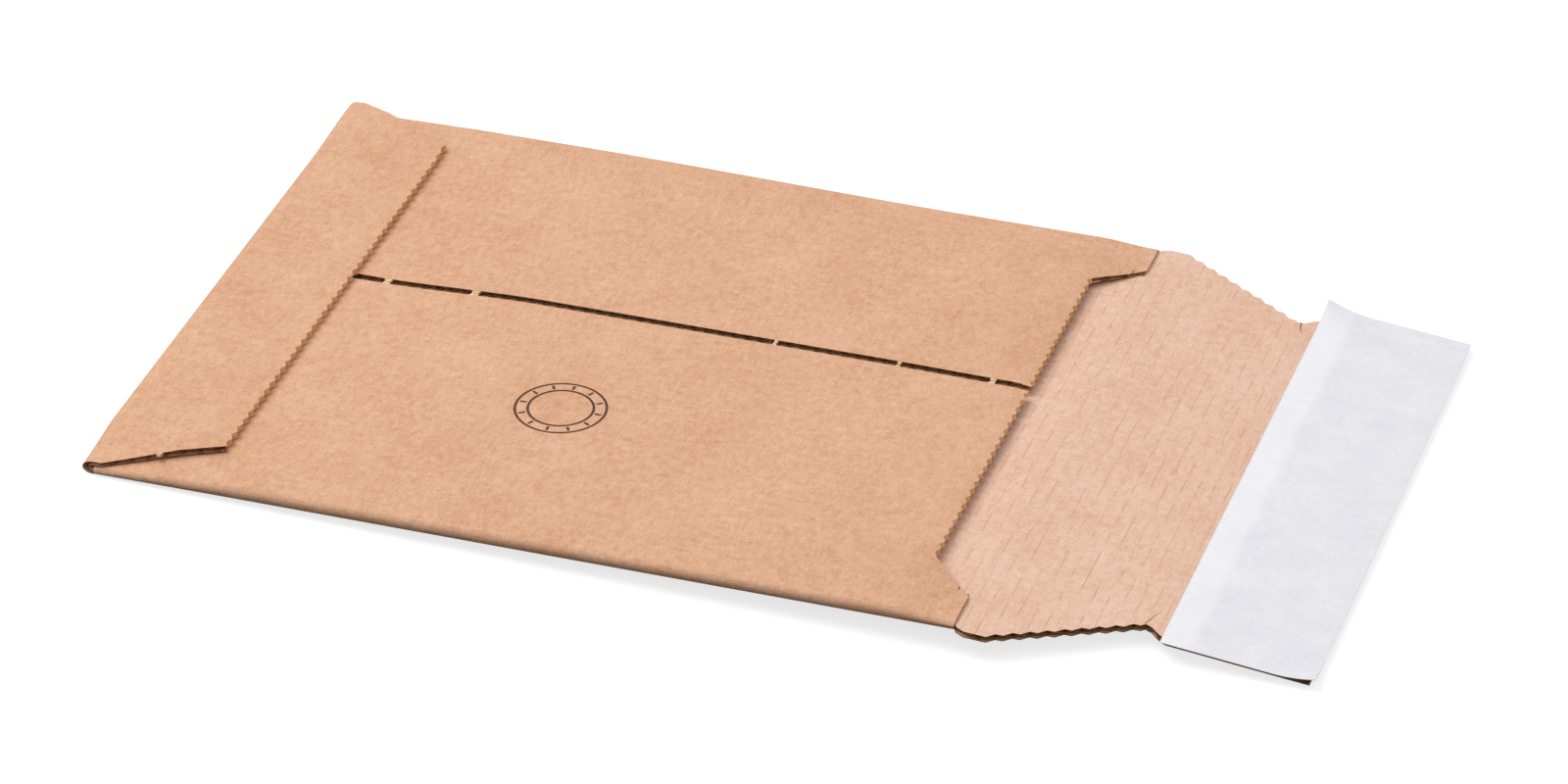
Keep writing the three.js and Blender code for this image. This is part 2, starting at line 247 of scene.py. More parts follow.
KRAFT = seen(219, 170, 137)
KRAFT_DARK = seen(203, 149, 112)
KRAFT_LIGHT = seen(230, 189, 159)
INSIDE = seen(229, 190, 167)
INSIDE_DARK = seen(216, 170, 141)
INSIDE_LIGHT = seen(238, 206, 186)
# The cut colours are partly the paler crushed fibres and partly painted light, for the walls under the knife's
# teeth that face away from the lamp.
CUT_PAPER = seen(236, 186, 128)
FLUTE_LINE = seen(206, 142, 106)
FLUTING = seen(140, 98, 58)
CUT_DARK = seen(212, 158, 100)
CUT_LIGHT = seen(250, 214, 162)
# The shaded cut colours are painted shade on every other cut rim.
SHADED_CUT = seen(128, 82, 42)
SHADED_CUT_DARK = seen(84, 50, 22)
SHADED_CUT_LIGHT = seen(176, 122, 70)
FLUTING_DARK = seen(120, 82, 46)
FLUTING_LIGHT = seen(170, 126, 84)
TORN = seen(232, 198, 156)
TORN_DARK = seen(196, 150, 104)
TORN_LIGHT = seen(248, 224, 190)
LINER_SHADE = seen(221, 219, 226)
LINER_WHITE = seen(241, 240, 245)
INK_DARK = seen(44, 24, 8)
INK_LIGHT = seen(94, 60, 30)
DRIED_GLUE = seen(233, 220, 192)
ADHESIVE = seen(232, 224, 200)
print("kraft outside", [round(part, 3) for part in KRAFT[:3]])

# %% [markdown]
# ## Kraft paper
# Brown kraft paper is a felt of wood fibres. From close by it is a fine grain with short light and dark
# hairs, and from further off it is faintly cloudy. The fluting under it shows as very faint ribs, and on
# the inside as thin broken lines where it is glued. One function makes every brown paper: noise at several
# sizes is added into one factor, which runs from a darker to a lighter kraft, and the same noise drives a
# small bump.

# %% Nodes that every paper uses
def new_finish(name):
    finish = bpy.data.materials.new(name)
    finish.use_nodes = True
    return finish, finish.node_tree


def add(tree, kind, inputs=None, **settings):
    """Adds a node. An input is a number, a colour, or another node's output to link."""
    node = tree.nodes.new(kind)
    for key, value in settings.items():
        setattr(node, key, value)
    for key, value in (inputs or {}).items():
        if isinstance(value, bpy.types.NodeSocket):
            tree.links.new(value, node.inputs[key])
        else:
            node.inputs[key].default_value = value
    return node


def millimetres(tree, turn=(0, 0, 0), stretch=(1, 1, 1)):
    """The piece's own coordinates in millimetres, turned and stretched for a pattern."""
    place = add(tree, "ShaderNodeTexCoord").outputs["Object"]
    scale = tuple(part / MM for part in stretch)
    mapping = add(tree, "ShaderNodeMapping", {"Vector": place, "Rotation": turn, "Scale": scale})
    return mapping.outputs["Vector"]


def along_x(tree):
    """The distance along x in millimetres, across the flutes."""
    return add(tree, "ShaderNodeSeparateXYZ", {0: millimetres(tree)}).outputs["X"]


def ramp_between(tree, value, ends, to_ends, **settings):
    """Maps a value from one pair of ends to another, and keeps it between them."""
    (start, end), (low, high) = ends, to_ends
    inputs = {"Value": value, "From Min": start, "From Max": end, "To Min": low, "To Max": high}
    return add(tree, "ShaderNodeMapRange", inputs, **settings).outputs["Result"]


def noise(tree, size, detail=3, turn=(0, 0, 0), stretch=(1, 1, 1), roughness=0.55):
    """Cloudy noise whose lumps are about size millimetres across."""
    vector = millimetres(tree, turn, stretch)
    inputs = {"Vector": vector, "Scale": 1 / size, "Detail": detail, "Roughness": roughness}
    return add(tree, "ShaderNodeTexNoise", inputs).outputs["Fac"]


def maths(tree, operation, first, second=0.0, third=0.0):
    node = add(tree, "ShaderNodeMath", {0: first, 1: second, 2: third}, operation=operation)
    return node.outputs[0]


def weighted(tree, parts):
    """The sum of several noises, each with a weight, about zero."""
    total = None
    for value, weight in parts:
        part = maths(tree, "MULTIPLY_ADD", value, weight, -weight / 2)
        total = part if total is None else maths(tree, "ADD", total, part)
    return total


# %% The kraft finish
CREASE_GLUE_REACH = 16     # the glued lines fade over this distance from the closure crease


def flute_lines(tree, along):
    """1 on the thin broken lines that the glued flutes leave on the inside paper, and 0 between them."""
    phase = maths(tree, "FRACT", maths(tree, "MULTIPLY", along, 1 / FLUTE_PITCH))
    off_centre = maths(tree, "ABSOLUTE", maths(tree, "SUBTRACT", phase, 0.5))
    wander = maths(tree, "MULTIPLY", noise(tree, 5, 2, stretch=(0.3, 1, 1)), 0.03)
    line = ramp_between(tree, maths(tree, "ADD", off_centre, wander), (0.025, 0.07), (1, 0))
    dashes = noise(tree, 1.6, 2, stretch=(2.0, 0.26, 1), roughness=0.6)
    broken = ramp_between(tree, dashes, (0.44, 0.56), (0, 1))
    patchy = ramp_between(tree, noise(tree, 30, 1), (0.3, 0.7), (0.4, 1))
    near_crease = ramp_between(tree, along, (POCKET_END, POCKET_END + CREASE_GLUE_REACH), (1.8, 0.8))
    strength = maths(tree, "MULTIPLY", patchy, near_crease)
    return maths(tree, "MULTIPLY", maths(tree, "MULTIPLY", line, broken), strength)


def kraft_finish(name, dark, middle, light, rib_depth=0.0, lines=0.0):
    """Kraft paper, with ribs so many millimetres deep and glue lines of a given strength."""
    finish, tree = new_finish(name)
    clouds = noise(tree, 16, 2)
    felt = noise(tree, 1.6, 4, stretch=(1, 0.7, 1), roughness=0.7)
    grain = noise(tree, 0.35, 2)
    hairs = noise(tree, 0.8, 2, turn=(0, 0, 0.3), stretch=(0.22, 2.2, 1))
    cross_hairs = noise(tree, 0.8, 2, turn=(0, 0, 1.2), stretch=(2.2, 0.22, 1))
    mix = weighted(tree, [(clouds, 0.6), (felt, 1.3), (grain, 1.3), (hairs, 0.9), (cross_hairs, 0.7)])
    along = along_x(tree)
    ramp = add(tree, "ShaderNodeValToRGB", {"Fac": maths(tree, "ADD", mix, 0.5)})
    ramp.color_ramp.elements[0].color = dark
    ramp.color_ramp.elements[1].color = light
    ramp.color_ramp.elements.new(0.5).color = middle
    paper_colour = ramp.outputs["Color"]
    if lines:
        mix_lines = add(tree, "ShaderNodeMix", data_type="RGBA")
        tree.links.new(maths(tree, "MULTIPLY", flute_lines(tree, along), lines), mix_lines.inputs["Factor"])
        tree.links.new(paper_colour, mix_lines.inputs["A"])
        mix_lines.inputs["B"].default_value = FLUTE_LINE
        paper_colour = mix_lines.outputs["Result"]
    ribs = maths(tree, "SINE", maths(tree, "MULTIPLY", along, 2 * math.pi / FLUTE_PITCH))
    height = maths(tree, "MULTIPLY_ADD", ribs, rib_depth, maths(tree, "MULTIPLY", mix, 0.05))
    bump = add(tree, "ShaderNodeBump", {"Height": height, "Distance": MM, "Strength": 1.0})
    shader = tree.nodes["Principled BSDF"]
    tree.links.new(paper_colour, shader.inputs["Base Color"])
    tree.links.new(bump.outputs["Normal"], shader.inputs["Normal"])
    tree.links.new(ramp_between(tree, felt, (0, 1), (0.8, 0.95)), shader.inputs["Roughness"])
    shader.inputs["Specular IOR Level"].default_value = 0.25
    return finish


outside_finish = kraft_finish("kraft_outside", KRAFT_DARK, KRAFT, KRAFT_LIGHT, 0.004)
inside_finish = kraft_finish("kraft_inside", INSIDE_DARK, INSIDE, INSIDE_LIGHT, 0.012, lines=0.5)
# The cut edge finish is lightened with painted light, and the dark edge finish below is painted shade.
cut_finish = kraft_finish("kraft_cut_edge_painted_light", CUT_DARK, CUT_PAPER, CUT_LIGHT)
painted_shade_cut_finish = kraft_finish("kraft_edge_painted_shade", SHADED_CUT_DARK, SHADED_CUT, SHADED_CUT_LIGHT)
fluting_finish = kraft_finish("kraft_fluting", FLUTING_DARK, FLUTING, FLUTING_LIGHT)
torn_finish = kraft_finish("kraft_torn_fibres", TORN_DARK, TORN, TORN_LIGHT)
kraft_finishes = (outside_finish, inside_finish, cut_finish, painted_shade_cut_finish, fluting_finish, torn_finish)
print("kraft finishes", [finish.name for finish in kraft_finishes])

# %% [markdown]
# ## The folded papers of the pocket
# The outer paper starts as the flat front panel. Its long edges are spun round the long folds and pulled
# inwards as the side panels, which stop either side of the slit. Its left edge is spun round the bottom
# fold and pulled as the bottom flap. The inner paper is the same sheet nearer the middle of each fold, so
# one function makes both. Spinning keeps each fold an exact half circle, which a bevel on a sharp edge
# would only come near. The folded board then springs: the side panels rise, the strips beside the long
# folds are pinched flat at the closure crease, the near end of the bottom fold is crushed, and the far fold
# stays a little fatter.

# %% How far the side panels spring up
LIFT = 1.4
MOUTH_LIFT = 1.1
LIFT_START = -66.1
LIFT_RUN = 42
MOUTH_RUN = 38
RIDGE = 0.16               # height of the second crease's ridge
RIDGE_HALF = 0.7
LIP_DEPTH = 1.25           # crushed wall under the toothed edges
PINCH_START = 84.0         # from here to the closure crease the strips are pressed down
PINCHED_UNDER = 1.45       # height of a pinched strip's underside, and what is left of its thickness
PINCHED_SHARE = 0.55
NEAR_CRUSH = 0.38          # share of its height that the near end of the bottom fold has lost
CRUSH_ACROSS = (62, BOTTOM_HALF)
CRUSH_ALONG = (-94, -76)
FAR_PUFF = 0.22            # how much higher and wider the far fold stands towards its left end
FAR_SPREAD = 0.9
PUFF_ACROSS = (56, 76)
PUFF_ALONG = (-40, 60)
SPREAD_ALONG = (-96, -86)
RIDGE_RISES = (-70, -58)
RIDGE_FALLS = (62, 76)
BEND_ROWS = (-76, -72, -69, -64, 57, 61, 64, 69, 72, 76)


def smooth_step(start, end, value):
    """0 before start, 1 after end, and a smooth rise between them."""
    share = min(1, max(0, (value - start) / (end - start)))
    return share * share * (3 - 2 * share)


def lift_at(x):
    """How far the side panels have sprung up at a place along the pocket."""
    rise = LIFT * smooth_step(LIFT_START, LIFT_START + LIFT_RUN, x)
    return rise - (LIFT - MOUTH_LIFT) * smooth_step(MOUTH_EDGE - MOUTH_RUN, MOUTH_EDGE, x)


def lifted_share(y):
    """1 on the side panels, falling to 0 at the long folds."""
    return min(1, max(0, (LONG_FOLD_START - abs(y)) / (LONG_FOLD_START - SECOND_CREASE)))


print("panels stand up by", [round(lift_at(x), 2) for x in (-80, -45, 0, 88)], "mm along the pocket")

# %% Folding a sheet into a pocket
FOLD_STEPS = 10
LAST_COLUMN = 84.0
COLUMN = 4.0
PINCH_COLUMNS = (86.0, MOUTH_EDGE, 90.1, 92.1, 94.1, 96.1, POCKET_END)
ABOVE_FRONT = 0.5          # what is this much higher than the front panel belongs to the folds
PANEL_CENTRE = 10          # half of a zone about the middle, where only flat panels lie
SLACK = 0.1                # a looser touch, for heights and corners


def fold_long_side(piece, side, slit_edge, depth):
    """Spins the front panel's long edge round its fold, and pulls the side panel over it."""
    pick_edges(piece, lambda co: abs(co.y - side * LONG_FOLD_START) < TOUCH and co.z < depth + TOUCH)
    centre = (0, side * LONG_FOLD_START, LONG_FOLD_RADIUS)
    bpy.ops.mesh.spin(steps=FOLD_STEPS, angle=math.pi, center=centre, axis=(-side, 0, 0))
    rise = PANEL_TOP - 2 * LONG_FOLD_RADIUS
    pull((0, -side * (LONG_FOLD_START - SECOND_CREASE - RIDGE_HALF), rise))
    pull((0, -side * RIDGE_HALF, 0))
    pull((0, -side * RIDGE_HALF, 0))
    pull((0, -side * (SECOND_CREASE - RIDGE_HALF - MOUTH_HALF), 0))
    pull((0, slit_edge - side * MOUTH_HALF, 0))


def mouth_corner(x):
    """How far from the middle the slanted corner lies, between the mouth and the closure crease."""
    share = max(0, x - MOUTH_EDGE) / (POCKET_END - MOUTH_EDGE)
    return MOUTH_HALF + (CORNER_END - MOUTH_HALF) * share


def strip_width(x):
    """How wide the strip between the slanted corner and the long fold is."""
    return LONG_FOLD_START - mouth_corner(x)


def shape_mouth(piece, depth):
    """Pulls the folds and side panels on to the closure crease, and sets the mouth's edge back."""
    reached = LAST_COLUMN
    for column in PINCH_COLUMNS:
        pick_edges(piece, lambda co: abs(co.x - reached) < TOUCH
                   and (co.z > depth + ABOVE_FRONT or abs(co.y) > PANEL_CENTRE), by_middle=True)
        pull((column - reached, 0, 0))
        if column > MOUTH_EDGE:
            narrower = strip_width(column) / strip_width(reached)
            pick_points(piece, lambda co: abs(co.x - column) < TOUCH and co.z > depth + ABOVE_FRONT
                        and abs(co.y) < LONG_FOLD_START)
            mesh = bmesh.from_edit_mesh(piece.data)
            for vertex in mesh.verts:
                if vertex.select:
                    to_fold = (LONG_FOLD_START - abs(vertex.co.y)) * narrower
                    vertex.co.y = math.copysign(LONG_FOLD_START - to_fold, vertex.co.y)
            pick_points(piece, lambda co: abs(co.x - column) < TOUCH and co.z > depth + ABOVE_FRONT
                        and abs(co.y) < mouth_corner(column) - SLACK)
            bpy.ops.mesh.delete(type="VERT")
        reached = column
    pick_edges(piece, lambda co: abs(co.x - LAST_COLUMN) < TOUCH and abs(co.z - depth) < TOUCH)
    pull((FRONT_END - LAST_COLUMN, 0, 0))


def fold_bottom(piece, depth):
    """Spins the front panel's left edge round the bottom fold, and pulls the bottom flap."""
    pick_edges(piece, lambda co: abs(co.x - PANEL_START) < TOUCH and co.z < depth + TOUCH)
    pull((BOTTOM_CENTRE - PANEL_START, 0, 0), BOTTOM_HALF / LONG_FOLD_START)
    centre = (BOTTOM_CENTRE, 0, BOTTOM_RADIUS)
    bpy.ops.mesh.spin(steps=FOLD_STEPS, angle=math.pi, center=centre, axis=(0, -1, 0))
    pull((BOTTOM_SHOULDER - BOTTOM_CENTRE, 0, 0))
    pull((BOTTOM_EDGE - BOTTOM_SHOULDER, 0, 0), BOTTOM_EDGE_HALF / BOTTOM_HALF)


# %% The knife's teeth on the mouth and on the bottom flap
LIP_INSET = 0.15           # how far the crushed wall leans in under the teeth
TOOTHED_BAND = 1.3         # cut rims this near a toothed edge get painted light, and elsewhere painted shade
CREASE_BAND = 0.2


def on_near_mouth(co):
    return abs(co.x - MOUTH_EDGE) < TOUCH and -MOUTH_HALF - TOUCH < co.y < SLIT_MIDDLE


def on_far_mouth(co):
    return abs(co.x - MOUTH_EDGE) < TOUCH and SLIT_MIDDLE < co.y < MOUTH_HALF + TOUCH


def on_bottom_edge(co):
    return abs(co.x - BOTTOM_EDGE) < TOUCH and co.z > PANEL_TOP


def cut_all_teeth(piece):
    """Cuts the three toothed edges, and counts their teeth."""
    near = cut_teeth(piece, on_near_mouth, SLIT_NEAR + MOUTH_HALF)
    far = cut_teeth(piece, on_far_mouth, MOUTH_HALF - SLIT_FAR)
    bottom = cut_teeth(piece, on_bottom_edge, 2 * BOTTOM_EDGE_HALF)
    return near, far, bottom


def turn_down_teeth(piece):
    """Closes each toothed edge with a wall of crushed paper, as the knife leaves it along a flute."""
    for edge_x, base in ((MOUTH_EDGE, 0), (BOTTOM_EDGE, BOTTOM_SHOULDER)):
        pick_edges(piece, lambda co: edge_x - TOOTH_DEPTH - TOUCH < co.x < edge_x + TOUCH
                   and co.z > PANEL_TOP - SLACK and abs(co.y) < BOTTOM_EDGE_HALF + TOUCH, rim_only=True)
        pull((-LIP_INSET, 0, -LIP_DEPTH))
        mesh = bmesh.from_edit_mesh(piece.data)
        # the crushed walls take the cut finish: their paler fibres, with painted light added
        for face in mesh.faces:
            standing = abs(face.normal.z) < 0.5 and abs(face.normal.x) > 0.2
            if standing and face.calc_center_median().x > base:
                face.material_index = 1
        bmesh.update_edit_mesh(piece.data)


def settle(x, y, z):
    """The near end of the bottom fold is crushed, and the far fold stands fatter towards its left end."""
    crushed = NEAR_CRUSH * smooth_step(*CRUSH_ACROSS, -y) * (1 - smooth_step(*CRUSH_ALONG, x))
    puffed = smooth_step(*PUFF_ACROSS, y) * (1 - smooth_step(*PUFF_ALONG, x))
    spread = FAR_SPREAD * puffed * smooth_step(*SPREAD_ALONG, x)
    return x, y + spread, z * (1 - crushed) * (1 + FAR_PUFF * puffed)


def ridge_at(x, y):
    """The second crease has sprung into a low ridge along the middle of the pocket."""
    along = smooth_step(*RIDGE_RISES, x) * (1 - smooth_step(*RIDGE_FALLS, x))
    return RIDGE * along if abs(abs(y) - SECOND_CREASE) < TOUCH else 0


def spring_panels(piece):
    """Lifts the side panels as folded board springs up, and pinches the strips at the closure crease."""
    for vertex in piece.data.vertices:
        x, y, z = vertex.co
        if z > LONG_FOLD_RADIUS:
            sprung = z + lift_at(x) * lifted_share(y) + ridge_at(x, y)
            pinched = PINCHED_UNDER + (z - PANEL_TOP + BOARD) * PINCHED_SHARE
            vertex.co.z = sprung + (pinched - sprung) * smooth_step(PINCH_START, POCKET_END, x)
        vertex.co = settle(*vertex.co)


PAPER_SMOOTHING = 35


def pocket_paper(name, depth, face_finish):
    """One paper of the pocket, depth millimetres inside the board's outer face."""
    piece = start_sheet(name, PANEL_START, LAST_COLUMN, LONG_FOLD_START, depth)
    edit(piece)
    fold_long_side(piece, -1, SLIT_NEAR, depth)
    fold_long_side(piece, 1, SLIT_FAR, depth)
    columns = [LIFT_START + COLUMN * step for step in range(int((LAST_COLUMN - LIFT_START) / COLUMN) + 1)]
    cut_across(columns, (1, 0, 0))
    shape_mouth(piece, depth)
    fold_bottom(piece, depth)
    teeth = cut_all_teeth(piece)
    cut_across(BEND_ROWS, (0, 1, 0))
    if depth == 0:
        turn_down_teeth(piece)
    close()
    spring_panels(piece)
    face_outwards(piece, lambda co: co.z < depth + TOUCH and abs(co.y) < PANEL_CENTRE, (0, 0, -1))
    piece.data.materials.append(face_finish)
    piece.data.materials.append(cut_finish)
    piece.data.materials.append(painted_shade_cut_finish)
    thicken(piece, PAPER)
    # Rims near the toothed edges keep the cut finish with its painted light, rims at the closure crease take the
    # face's own finish, and all other rims take the finish darkened as painted shade.
    for face in piece.data.polygons:
        x, y = face.center.xy
        to_teeth = min(abs(x - MOUTH_EDGE), abs(x - BOTTOM_EDGE))
        toothed = abs(y) < BOTTOM_EDGE_HALF and to_teeth < TOOTHED_BAND
        if face.material_index == 1 and not toothed:
            face.material_index = 0 if x > POCKET_END - CREASE_BAND else 2
    smooth_shading(piece, PAPER_SMOOTHING)
    piece.data.transform(pocket_place)
    print(name, len(piece.data.polygons), "faces, teeth near, far and bottom", teeth)
    return piece


outer_paper = pocket_paper("pocket_outer_paper", 0, outside_finish)
inner_paper = pocket_paper("pocket_inner_paper", BOARD - PAPER, inside_finish)

# %% [markdown]
# ## The fluting
# The waved paper between the two flat ones shows at the cut edges, whose rims are darkened with painted shade.
# Each panel gets its own wave: a grid with eight columns for each flute, whose points are set on a sine along x,
# and whose ends follow the outline of that panel. The long folds crush their flutes, so none run through them.

# %% A wave between two papers
WAVE_COLUMNS = 8
WAVE_ROWS = 24
FLUTING_PAPER = 0.22
WAVE = (BOARD - 2 * PAPER - FLUTING_PAPER) / 2
FLUTING_SMOOTHING = 50


def fluting(name, reach, near_end, far_end, middle, place=pocket_place):
    """A wave along reach. At a place x it runs from near_end to far_end, at the mean height middle."""
    start, end = reach
    waves = round((end - start) / FLUTE_PITCH)
    bpy.ops.object.select_all(action="DESELECT")
    bpy.ops.mesh.primitive_grid_add(x_subdivisions=waves * WAVE_COLUMNS, y_subdivisions=WAVE_ROWS, size=2)
    piece = bpy.context.object
    piece.name = name
    piece.data.name = name
    for vertex in piece.data.vertices:
        share = (vertex.co.x + 1) / 2
        x = start + (end - start) * share
        y = near_end(x) + (far_end(x) - near_end(x)) * (vertex.co.y + 1) / 2
        z = middle(x) + WAVE * math.sin(2 * math.pi * waves * share)
        vertex.co = settle(x, y, z) if place == pocket_place else (x, y, z)
    piece.data.materials.append(fluting_finish)
    # the wave's cut rims are darkened with painted shade
    piece.data.materials.append(painted_shade_cut_finish)
    wave = piece.modifiers.new("fluting paper", "SOLIDIFY")
    wave.thickness = FLUTING_PAPER
    wave.offset = 0
    wave.material_offset_rim = 1
    bpy.ops.object.modifier_apply(modifier=wave.name)
    smooth_shading(piece, FLUTING_SMOOTHING)
    piece.data.transform(place)
    print(name, waves, "flutes,", len(piece.data.polygons), "faces")
    return piece


# %% The fluting of the pocket's panels
PANEL_FLUTES = (-94.0, 87.0)
CORNER_FLUTES = (88.2, 97.8)
CORNER_FLUTES_END = SECOND_CREASE + 1
FRONT_FLUTES = (-92.0, 94.0)
FRONT_FLUTES_END = 77.5
BOTTOM_FLUTES = (BOTTOM_SHOULDER, -70.4)
BOTTOM_MIDDLE = 2 * BOTTOM_RADIUS - HALF_BOARD


def panel_middle(x):
    """Height of the middle of the side panels' board."""
    sprung = PANEL_TOP - HALF_BOARD + lift_at(x)
    pinched = PINCHED_UNDER + HALF_BOARD * PINCHED_SHARE
    return sprung + (pinched - sprung) * smooth_step(PINCH_START, POCKET_END, x)


def bottom_end(x):
    """How far from the middle the bottom flap's slanted ends lie."""
    share = (BOTTOM_EDGE - x) / (BOTTOM_EDGE - BOTTOM_SHOULDER)
    return BOTTOM_EDGE_HALF + (BOTTOM_HALF - BOTTOM_EDGE_HALF) * share


flutings = [
    fluting("near_panel_fluting", PANEL_FLUTES, lambda x: -SECOND_CREASE, lambda x: SLIT_NEAR, panel_middle),
    fluting("far_panel_fluting", PANEL_FLUTES, lambda x: SLIT_FAR, lambda x: SECOND_CREASE, panel_middle),
    fluting("near_corner_fluting", CORNER_FLUTES, lambda x: -CORNER_FLUTES_END, lambda x: -mouth_corner(x),
            panel_middle),
    fluting("far_corner_fluting", CORNER_FLUTES, mouth_corner, lambda x: CORNER_FLUTES_END, panel_middle),
    fluting("front_panel_fluting", FRONT_FLUTES, lambda x: -FRONT_FLUTES_END, lambda x: FRONT_FLUTES_END,
            lambda x: HALF_BOARD),
    fluting("bottom_flap_fluting", BOTTOM_FLUTES, lambda x: -bottom_end(x), bottom_end,
            lambda x: BOTTOM_MIDDLE),
]

# %% [markdown]
# ## The closure flap
# Its papers carry on from the front panel across the closure crease. Each starts as a short strip under the
# mouth and is pulled out along the flap's outline, wider at the shoulder, narrow at the tear line and wider
# again at the adhesive. The slanted sides are cut across the flutes and come out scalloped, one scallop for
# each flute.

# %% Outline of the flap, with s from the crease
FLAP_START = FRONT_END - POCKET_END
FLAP_END = 73.6
TEAR_LINE = 37.4
SLANT_START = 7.4
FLAP_OUTLINE = [(FLAP_START, 78.4), (-0.4, 78.4), (0.6, 80), (2.6, 81), (SLANT_START, 81), (TEAR_LINE, 63.4),
                (38.6, 63.9), (40.2, 65.4), (42.2, 66.7), (FLAP_END, 66.7)]
SCALLOP_DEPTH = 0.8
COLUMN_STEP = 0.8


def flap_half(s):
    """Half the flap's width at a place, on its straight outline."""
    for (s0, w0), (s1, w1) in zip(FLAP_OUTLINE, FLAP_OUTLINE[1:]):
        if s <= s1:
            return w0 + (w1 - w0) * (s - s0) / (s1 - s0)
    return FLAP_OUTLINE[-1][1]


def scallop(s):
    """How far the slanted edge is eaten in between two flutes."""
    if not SLANT_START < s < TEAR_LINE:
        return 0
    return SCALLOP_DEPTH * (0.5 - 0.5 * math.cos(2 * math.pi * (s - SLANT_START) / FLUTE_PITCH))


# %% How the flap hangs
DROOP = 3.8
TEAR_BEND = 2.7
CREASE_BEND_HALF = 1.5


def hang(piece):
    """Bends a flat flap layer down at the crease and once more at the tear line."""
    tear = Matrix.Translation((TEAR_LINE, 0, 0)) @ Matrix.Rotation(math.radians(TEAR_BEND), 4, "Y")
    tear = tear @ Matrix.Translation((-TEAR_LINE, 0, 0))
    turn = Matrix.Translation((POCKET_END, 0, HINGE_HEIGHT)) @ Matrix.Rotation(math.radians(DROOP), 4, "Y")
    turn = turn @ Matrix.Translation((0, 0, -HINGE_HEIGHT))
    for vertex in piece.data.vertices:
        flat = vertex.co.copy()
        bent = tear @ flat if flat.x > TEAR_LINE else flat
        share = smooth_step(-CREASE_BEND_HALF, CREASE_BEND_HALF, flat.x)
        vertex.co = (flat + Vector((POCKET_END, 0, 0))).lerp(turn @ bent, share)


def flap_paper(name, z, outward, face_finish):
    """One flat paper of the flap, with its outer face at height z in the flap's own plane."""
    piece = start_sheet(name, FLAP_OUTLINE[0][0], FLAP_OUTLINE[1][0], FLAP_OUTLINE[0][1], z)
    edit(piece)
    for (s0, w0), (s1, w1) in zip(FLAP_OUTLINE[1:], FLAP_OUTLINE[2:]):
        pick_edges(piece, lambda co: abs(co.x - s0) < TOUCH)
        pull((s1 - s0, 0, 0), w1 / w0)
    steps = int((FLAP_END - FLAP_START) / COLUMN_STEP)
    cut_across([FLAP_START + COLUMN_STEP * step for step in range(1, steps + 1)], (1, 0, 0))
    close()
    for vertex in piece.data.vertices:
        side = 1 if vertex.co.y > 0 else -1
        vertex.co.y -= side * scallop(vertex.co.x)
    face_outwards(piece, lambda co: True, (0, 0, outward))
    hang(piece)
    piece.data.materials.append(face_finish)
    # the flap's cut rims and scallops are darkened with painted shade
    piece.data.materials.append(painted_shade_cut_finish)
    thicken(piece, PAPER)
    smooth_shading(piece, PAPER_SMOOTHING)
    piece.data.transform(pocket_place)
    print(name, len(piece.data.polygons), "faces")
    return piece


flap_inside = flap_paper("closure_flap_inner_paper", BOARD, 1, inside_finish)
flap_outside = flap_paper("closure_flap_outer_paper", 0, -1, outside_finish)

# %% The flap's fluting
FLAP_FLUTES = (3.4, 73.4)
flap_fluting = fluting("closure_flap_fluting", FLAP_FLUTES, lambda s: scallop(s) - flap_half(s),
                       lambda s: flap_half(s) - scallop(s), lambda s: HALF_BOARD, Matrix.Identity(4))
hang(flap_fluting)
flap_fluting.data.transform(pocket_place)

# %% [markdown]
# ## Two small tears
# The flap has begun to tear at both ends of its tear line. Each tear is a cube drawn out into a dark wavy sliver
# that narrows to a point; its dark is painted shade in the tear's opening. Its underside is sunk in the paper, and
# only its top shows.

# %% The tears, each from its wide end to its point
TEARS = [((37.5, 63.5), (38.5, 59.5), 0.36), ((36.8, -63.0), (38.7, -57.5), 0.2)]
TEAR_CUTS = 9
TEAR_NARROWING = 0.7
TEAR_WAVE = 0.13
TEAR_WAVE_TURN = 9         # radians of wave from end to end
TEAR_THICKNESS = 0.1
TEAR_SUNK = 0.02
tears = []
for (s0, y0), (s1, y1), width in TEARS:
    bpy.ops.mesh.primitive_cube_add(size=1)
    tear = bpy.context.object
    tear.name = "tear_near" if y0 < 0 else "tear_far"
    tear.data.name = tear.name
    edit(tear)
    bpy.ops.mesh.select_all(action="SELECT")
    bpy.ops.mesh.subdivide(number_cuts=TEAR_CUTS)
    close()
    side = 1 if y1 < y0 else -1    # keeps the faces of both tears outwards
    for vertex in tear.data.vertices:
        along = vertex.co.x + 0.5
        half_width = side * width * vertex.co.y * (1 - TEAR_NARROWING * along)
        across = half_width + TEAR_WAVE * math.sin(TEAR_WAVE_TURN * along)
        z = BOARD - TEAR_SUNK + TEAR_THICKNESS * vertex.co.z
        vertex.co = (s0 + (s1 - s0) * along + across, y0 + (y1 - y0) * along, z)
    hang(tear)
    # the sliver's dark finish is painted shade in the opening of the tear
    tear.data.materials.append(painted_shade_cut_finish)
    tear.data.transform(pocket_place)
    tears.append(tear)
print("tears", [tear.name for tear in tears])

# %% [markdown]
# ## The release liner
# A strip of smooth white paper covers the adhesive. It is longer than the flap is wide, and its free
# corners curl.

# %% The liner
LINER_START = 41.4
LINER_END = 74.8
LINER_NEAR = -68.6
LINER_FAR = 72.4
LINER_HEIGHT = 1.7
LINER_PAPER = 0.12
LINER_MARGIN = 6.5         # the strip beside the liner's left edge that lies on no adhesive looks whiter
LINER_MARGIN_END = (pocket_place @ Vector((POCKET_END + LINER_START + LINER_MARGIN, 0, 0))).x / MM
MARGIN_BLUR = 1.5
MARGIN_LIGHTER = 0.45
LINER_SMOOTHING = 40


